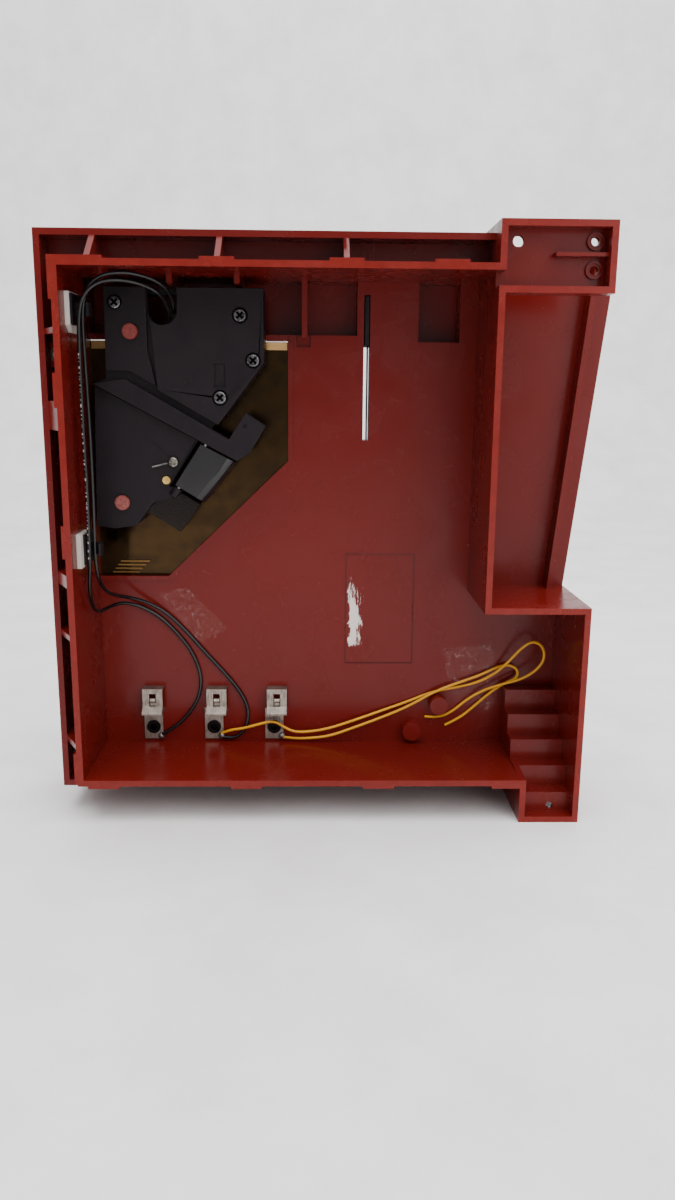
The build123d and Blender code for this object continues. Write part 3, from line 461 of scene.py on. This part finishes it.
# wires: PVC hook-up wire along the left wall and over the front plate
# sizes in millimetres, length in metres, and each route point is X, depth and Z
blackLeft = {
    "diameter": 1.6, "length": 0.2811, "body": "casing", "slot": "black_pvc", "far": "object",
    "route": [
        (-67.2, 31, 204.6), (-67.2, 24.5, 210.4), (-70.8, 18.2, 214.2), (-76.4, 14.2, 216.4),
        (-82.8, 11.2, 217.2), (-89.6, 9.2, 216.6), (-95.2, 8.8, 213.0), (-98.6, 9.2, 206.0),
        (-99.0, 9.8, 188.0), (-99.2, 10.6, 160.0), (-98.9, 11, 136.0), (-99.4, 12, 118.0),
        (-99.8, 13.2, 106.0), (-101.4, 17, 97.0), (-102.0, 22, 89.0), (-101.4, 28.5, 83.4),
        (-98.8, 35, 83.8), (-94.2, 40.6, 85.2), (-88.4, 44.4, 83.6), (-82.0, 45.8, 80.4),
        (-76.2, 46, 76.2), (-70.4, 46, 70.2), (-64.6, 46, 62.8), (-61.0, 46, 54.6),
        (-59.8, 45.8, 46.6), (-61.6, 45.2, 38.8), (-66.0, 44.8, 32.0), (-71.6, 44.8, 26.2),
        (-78.2, 45.2, 22.2)],
}
blackRight = {
    "diameter": 1.6, "length": 0.2855, "body": "casing", "slot": "black_pvc", "far": "object",
    "route": [
        (-65.4, 31, 206.8), (-65.4, 25, 213.2), (-69.4, 18.6, 217.4), (-75.6, 13.6, 219.4),
        (-82.4, 10.8, 220.0), (-89.4, 10.2, 218.9), (-95.0, 10.9, 214.9), (-97.9, 11.9, 206.6),
        (-97.7, 12.5, 188.0), (-97.2, 13.3, 160.0), (-97.3, 13.7, 136.0), (-97.7, 14.4, 118.0),
        (-98.0, 15.8, 106.0), (-97.8, 20.4, 98.4), (-96.6, 26, 93.2), (-94.4, 32.4, 90.2),
        (-89.9, 38.6, 88.0), (-83.8, 43.2, 85.2), (-77.0, 45.6, 81.2), (-70.6, 46, 75.6),
        (-63.6, 46, 68.0), (-56.8, 46, 59.8), (-49.8, 46, 52.0), (-43.6, 46, 44.4),
        (-39.6, 45.9, 37.2), (-38.6, 45.4, 31.0), (-40.0, 44.9, 25.6), (-43.2, 44.8, 21.6),
        (-47.0, 45.0, 20.4), (-50.6, 45.3, 21.0)],
}
yellowUpper = {
    "diameter": 1.2, "length": 0.2291, "body": "casing", "slot": "yellow_pvc", "far": "bare",
    "route": [
        (-51.3, 45.5, 22.6), (-47.0, 44.2, 24.8), (-41.6, 43.0, 25.7), (-34.6, 42.2, 28.0),
        (-27.2, 42.2, 29.9), (-22.6, 42.6, 26.8), (-18.4, 43.0, 24.3), (-12.2, 43.2, 24.0),
        (-2.0, 43.4, 25.6), (10.0, 44.0, 29.6), (22.4, 45.2, 33.8), (34.0, 46.0, 37.8),
        (45.6, 46.3, 42.6), (56.4, 46.2, 44.6), (66.0, 45.4, 47.2), (73.6, 43.4, 52.2),
        (79.0, 41.0, 58.6), (83.6, 39.0, 65.2), (88.6, 38.0, 69.0), (93.2, 37.9, 66.4),
        (94.4, 38.2, 60.6), (91.0, 39.0, 54.8), (84.6, 40.0, 50.4), (76.6, 41.8, 47.6),
        (68.4, 44.0, 44.0), (61.2, 45.6, 39.0), (55.4, 46.2, 33.4), (48.8, 46.3, 29.8),
        (42.2, 46.2, 30.6)],
}
yellowLower = {
    "diameter": 1.2, "length": 0.1579, "body": "casing", "slot": "yellow_pvc", "far": "bare",
    "route": [
        (-23.6, 45.5, 20.9), (-17.4, 44.6, 20.4), (-10.6, 43.4, 21.0), (-1.6, 42.8, 22.2),
        (10.2, 43.4, 26.4), (22.8, 44.2, 31.0), (34.8, 44.5, 36.2), (45.8, 44.4, 43.0),
        (56.6, 44.6, 47.2), (66.6, 45.2, 50.6), (73.4, 45.4, 54.0), (79.2, 45.0, 56.0),
        (83.9, 44.4, 53.9), (83.6, 44.2, 49.6), (78.4, 44.4, 47.4), (72.2, 45.2, 43.0),
        (64.6, 46.0, 35.4), (58.2, 46.3, 29.6), (51.6, 46.3, 26.4)],
}


inkMarks = {"colour": "#A5A19C", "spacing": 1.6, "lowest": 108, "highest": 192}  # millimetres


def makePrintedPvc():
    # the same black sleeve with worn white marks printed along it
    material = made["extrudedBlackPvc"].copy()
    material.name = "printedBlackPvc"
    tree = material.node_tree
    shader = tree.nodes["Principled BSDF"]
    base = shader.inputs["Base Color"].links[0].from_socket
    place = addNode(tree, "ShaderNodeTexCoord").outputs["Object"]
    split = addNode(tree, "ShaderNodeSeparateXYZ", {0: place})
    normal = addNode(tree, "ShaderNodeSeparateXYZ",
                     {0: addNode(tree, "ShaderNodeNewGeometry").outputs["Normal"]})
    facing = addNode(tree, "ShaderNodeMapRange", {"Value": normal.outputs["X"], "From Min": -0.75,
                     "From Max": -0.45})
    facingEnd = addNode(tree, "ShaderNodeMapRange", {"Value": normal.outputs["X"], "From Min": 0.1,
                        "From Max": -0.1})
    towards = addNode(tree, "ShaderNodeMath", {0: normal.outputs["Y"], 1: -0.3}, operation="LESS_THAN")
    along = addNode(tree, "ShaderNodeCombineXYZ", {"Z": split.outputs["Z"]})
    marks = addNode(tree, "ShaderNodeTexNoise", {"Vector": along.outputs[0],
                    "Scale": 1 / (inkMarks["spacing"] * mm), "Detail": 2.0})
    inked = addNode(tree, "ShaderNodeMapRange", {"Value": marks.outputs["Fac"], "From Min": 0.51,
                    "From Max": 0.57})
    above = addNode(tree, "ShaderNodeMath", {0: split.outputs["Z"], 1: inkMarks["lowest"] * mm},
                    operation="GREATER_THAN")
    below = addNode(tree, "ShaderNodeMath", {0: split.outputs["Z"], 1: inkMarks["highest"] * mm},
                    operation="LESS_THAN")
    mask = inked.outputs[0]
    for other in (facing, facingEnd, towards, above, below):
        mask = addNode(tree, "ShaderNodeMath", {0: mask, 1: other.outputs[0]},
                       operation="MULTIPLY").outputs[0]
    colour = addNode(tree, "ShaderNodeMix", {"Factor": mask, mixA: base,
                     mixB: toLinear(inkMarks["colour"])}, data_type="RGBA")
    tree.links.new(colour.outputs[mixed], shader.inputs["Base Color"])
    return material


def makeWire(name, wire, material, replaced):
    curve = bpy.data.curves.new(name, "CURVE")
    curve.dimensions = "3D"
    curve.bevel_depth = wire["diameter"] / 2 * mm
    curve.bevel_resolution = 5
    curve.resolution_u = 8
    curve.use_fill_caps = True
    spline = curve.splines.new("NURBS")
    spline.points.add(len(wire["route"]) - 1)
    for point, (x, depth, z) in zip(spline.points, wire["route"]):
        point.co = (*at(x, depth, z), 1.0)
    spline.order_u = 3
    spline.use_endpoint_u = True
    piece = bpy.data.objects.new(name, curve)
    bpy.context.scene.collection.objects.link(piece)
    curve.materials.append(material)
    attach(piece, wire["body"])
    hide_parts(replaced)


makeWire("blackWireLeft", blackLeft, makePrintedPvc(), "black_wire_left")
makeWire("blackWireRight", blackRight, made["extrudedBlackPvc"], "black_wire_right")
makeWire("yellowWireUpper", yellowUpper, made["extrudedYellowPvc"], "yellow_wire_upper")
makeWire("yellowWireLower", yellowLower, made["extrudedYellowPvc"], "yellow_wire_lower")
print("wires laid")

# clear tape: creased polypropylene film stuck over the front plate (sizes in millimetres)
# the crease colour and its alpha are a painted highlight along the creases
tape = {"clear": "#A8807A", "creaseGlint": "#D0BCB6", "alpha": 0.05, "creaseGlintAlpha": 0.28, "rough": 0.10,
        "creaseCell": 5.0, "creaseWander": 7.0, "breakUp": 2.2, "bulge": 0.4,
        "seed": 4, "depth": 46.93, "rise": 0.14, "cell": 0.9, "ragged": 0.8}
tapeOutlines = {
    # name: the node it replaces, and its corners in X and Z
    "tapeLeft": ("tape_left", [(-80.0, 88.0), (-66.0, 92.0), (-46.0, 72.0), (-60.0, 64.0)]),
    "tapeRight": ("tape_right", [(48.6, 63.0), (72.0, 66.0), (76.8, 47.0), (73.0, 32.5), (55.0, 37.0)]),
}


def makeClearTape():
    # nearly unseen where flat; along the creases a whiter, less clear colour is a painted highlight
    material, tree, shader, place = newMaterial("creasedClearFilm", IOR=1.49)
    warp = addNode(tree, "ShaderNodeTexNoise", {"Vector": place, "Scale": 1 / (tape["creaseCell"] * mm),
                   "Detail": 3.0})
    moved = addNode(tree, "ShaderNodeVectorMath", {0: warp.outputs["Color"],
                    "Scale": tape["creaseWander"] * mm}, operation="SCALE")
    shifted = addNode(tree, "ShaderNodeVectorMath", {0: place, 1: moved.outputs[0]})
    cells = addNode(tree, "ShaderNodeTexVoronoi", {"Vector": shifted.outputs[0],
                    "Scale": 1 / (tape["creaseCell"] * mm)}, feature="DISTANCE_TO_EDGE")
    creaseGlint = addNode(tree, "ShaderNodeMapRange", {"Value": cells.outputs["Distance"], "From Min": 0.07,
                     "From Max": 0.0})
    broken = addNode(tree, "ShaderNodeTexNoise", {"Vector": place, "Scale": 1 / (tape["breakUp"] * mm),
                     "Detail": 4.0})
    some = addNode(tree, "ShaderNodeMapRange", {"Value": broken.outputs["Fac"], "From Min": 0.5,
                   "From Max": 0.64})
    glintSeen = addNode(tree, "ShaderNodeMath", {0: creaseGlint.outputs[0], 1: some.outputs[0]},
                   operation="MULTIPLY")
    colour = addNode(tree, "ShaderNodeMix", {"Factor": glintSeen.outputs[0], mixA: toLinear(tape["clear"]),
                     mixB: toLinear(tape["creaseGlint"])}, data_type="RGBA")
    tree.links.new(colour.outputs[mixed], shader.inputs["Base Color"])
    alpha = addNode(tree, "ShaderNodeMapRange", {"Value": glintSeen.outputs[0], "To Min": tape["alpha"],
                    "To Max": tape["creaseGlintAlpha"]})
    tree.links.new(alpha.outputs[0], shader.inputs["Alpha"])
    rough = addNode(tree, "ShaderNodeMapRange", {"Value": broken.outputs["Fac"],
                    "To Min": tape["rough"], "To Max": tape["rough"] + 0.25})
    tree.links.new(rough.outputs[0], shader.inputs["Roughness"])
    bump = addNode(tree, "ShaderNodeBump", {"Height": cells.outputs["Distance"],
                   "Distance": tape["bulge"] * mm})
    tree.links.new(bump.outputs[0], shader.inputs["Normal"])
    return material


def inside(x, z, outline):
    hit = False
    for (x0, z0), (x1, z1) in zip(outline, outline[1:] + outline[:1]):
        if (z0 > z) != (z1 > z) and x < x0 + (z - z0) * (x1 - x0) / (z1 - z0):
            hit = not hit
    return hit


def makeTape(name, replaced, outline, material):
    mesh = bmesh.new()
    step = tape["cell"]
    xs, zs = [corner[0] for corner in outline], [corner[1] for corner in outline]
    grid = {}
    for i in range(int((max(xs) - min(xs)) / step) + 2):
        for j in range(int((max(zs) - min(zs)) / step) + 2):
            x, z = min(xs) + i * step, min(zs) + j * step
            ragged = tape["ragged"] * noise.noise(Vector((x * 0.7, z * 0.7, tape["seed"])))
            if inside(x + ragged, z - ragged, outline):
                fold = abs(noise.noise(Vector((x * 0.22, z * 0.22, tape["seed"] + 5.0))))
                lift = tape["rise"] * max(0.0, 1.0 - 5.0 * fold)
                grid[i, j] = mesh.verts.new(at(x, tape["depth"] - lift, z))
    for (i, j), corner in grid.items():
        ring = [corner, grid.get((i + 1, j)), grid.get((i + 1, j + 1)), grid.get((i, j + 1))]
        if all(ring):
            mesh.faces.new(ring).smooth = True
    data = bpy.data.meshes.new(name)
    mesh.to_mesh(data)
    mesh.free()
    piece = bpy.data.objects.new(name, data)
    bpy.context.scene.collection.objects.link(piece)
    data.materials.append(material)
    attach(piece, "casing")
    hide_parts(replaced)


clearTape = makeClearTape()
for name, (replaced, outline) in tapeOutlines.items():
    makeTape(name, replaced, outline, clearTape)
print("tape on")

# floor: matt lacquered board swept up behind, pale and even, with faint grey rub marks (metres)
sweep = {"colour": "#EDEBEB", "worn": "#E0DDDC", "rubMark": 0.06, "near": -2.5, "bendStart": 0.75,
         "bendRadius": 0.5, "bendSteps": 12, "top": 3.0, "halfWidth": 3.0}


def makeFloorPaint():
    material, tree, shader, place = newMaterial("mattFloorPaint", IOR=1.45, Roughness=0.6)
    cloud = addNode(tree, "ShaderNodeTexNoise", {"Vector": place, "Scale": 1 / sweep["rubMark"],
                    "Detail": 7.0, "Roughness": 0.65})
    colour = addNode(tree, "ShaderNodeValToRGB", {"Fac": cloud.outputs["Fac"]},
                     stops=[(0.30, sweep["worn"]), (0.62, sweep["colour"])])
    tree.links.new(colour.outputs[0], shader.inputs["Base Color"])
    return material


def makeSweep():
    mesh = bmesh.new()
    start, radius, steps = sweep["bendStart"], sweep["bendRadius"], sweep["bendSteps"]
    profile = [(sweep["near"], 0.0), (-0.6, 0.0), (0.3, 0.0), (start, 0.0)]
    for k in range(1, steps + 1):
        turn = math.radians(90) * k / steps
        profile.append((start + radius * math.sin(turn), radius * (1 - math.cos(turn))))
    profile.append((start + radius, sweep["top"]))
    rows = [[mesh.verts.new((x, y, z)) for x in (-sweep["halfWidth"], sweep["halfWidth"])]
            for y, z in profile]
    for front, back in zip(rows, rows[1:]):
        mesh.faces.new((front[0], front[1], back[1], back[0])).smooth = True
    data = bpy.data.meshes.new("sweep")
    mesh.to_mesh(data)
    mesh.free()
    floor = bpy.data.objects.new("sweep", data)
    bpy.context.scene.collection.objects.link(floor)
    data.materials.append(makeFloorPaint())


lamps = {  # a wide soft top light, a wash on the sweep behind, and two weaker lights from the open side
    "softbox": {"place": (0.1, -0.3, 1.5), "target": (0.0, 0.05, 0.0), "size": (1.8, 1.2), "power": 36.0},
    "backLight": {"place": (0.0, 0.35, 1.7), "target": (0.0, 1.25, 0.5), "size": (1.8, 0.6),
                  "power": 12.0},
    "frontFill": {"place": (0.5, -1.25, 1.2), "target": (0.0, 0.0, 0.12), "size": (1.6, 0.7),
                  "power": 12.0},
    "sideCard": {"place": (0.85, -1.4, 0.4), "target": (0.1, 0.0, 0.15), "size": (0.9, 1.1),
                 "power": 6.5},
}
room = {"colour": "#F6F6F8", "level": 0.6, "above": 0.9, "aboveFrom": 0.8}  # light is stronger overhead


def addLamp(name, lamp):
    light = bpy.data.lights.new(name, "AREA")
    light.shape = "RECTANGLE"
    light.size, light.size_y = lamp["size"]
    light.energy = lamp["power"]
    holder = bpy.data.objects.new(name, light)
    holder.location = lamp["place"]
    aim = Vector(lamp["target"]) - Vector(lamp["place"])
    holder.rotation_euler = aim.to_track_quat("-Z", "Y").to_euler()
    bpy.context.scene.collection.objects.link(holder)


def lightRoom():
    world = bpy.data.worlds.new("room")
    bpy.context.scene.world = world
    world.use_nodes = True
    tree = world.node_tree
    direction = addNode(tree, "ShaderNodeSeparateXYZ",
                        {0: addNode(tree, "ShaderNodeTexCoord").outputs["Generated"]})
    fill = addNode(tree, "ShaderNodeMapRange", {"Value": direction.outputs["Z"], "From Min": 0.0,
                   "From Max": room["aboveFrom"], "To Min": room["level"], "To Max": room["above"]})
    background = tree.nodes["Background"]
    background.inputs["Color"].default_value = toLinear(room["colour"])
    tree.links.new(fill.outputs[0], background.inputs["Strength"])


makeSweep()
for name, lamp in lamps.items():
    addLamp(name, lamp)
lightRoom()

view = {"lens": 28.25, "sensor": 36.0, "place": (-0.0081, -0.396, 0.17685), "roll": 0.49,
        "forward": (0.0230, 0.9759, -0.2171), "level": (0.99972, -0.02356, 0.0)}
cameraData = bpy.data.cameras.new("camera")
cameraData.lens = view["lens"]
cameraData.sensor_width = view["sensor"]
cameraData.clip_start = 0.01
camera = bpy.data.objects.new("camera", cameraData)
forward = Vector(view["forward"]).normalized()
level = Vector(view["level"]).normalized()
upright = level.cross(forward)
roll = math.radians(view["roll"])
across = level * math.cos(roll) + upright * math.sin(roll)
above = upright * math.cos(roll) - level * math.sin(roll)
turned = Matrix((across, above, -forward)).transposed().to_4x4()
camera.matrix_world = Matrix.Translation(view["place"]) @ turned
bpy.context.scene.collection.objects.link(camera)
bpy.context.scene.camera = camera
print("studio set")
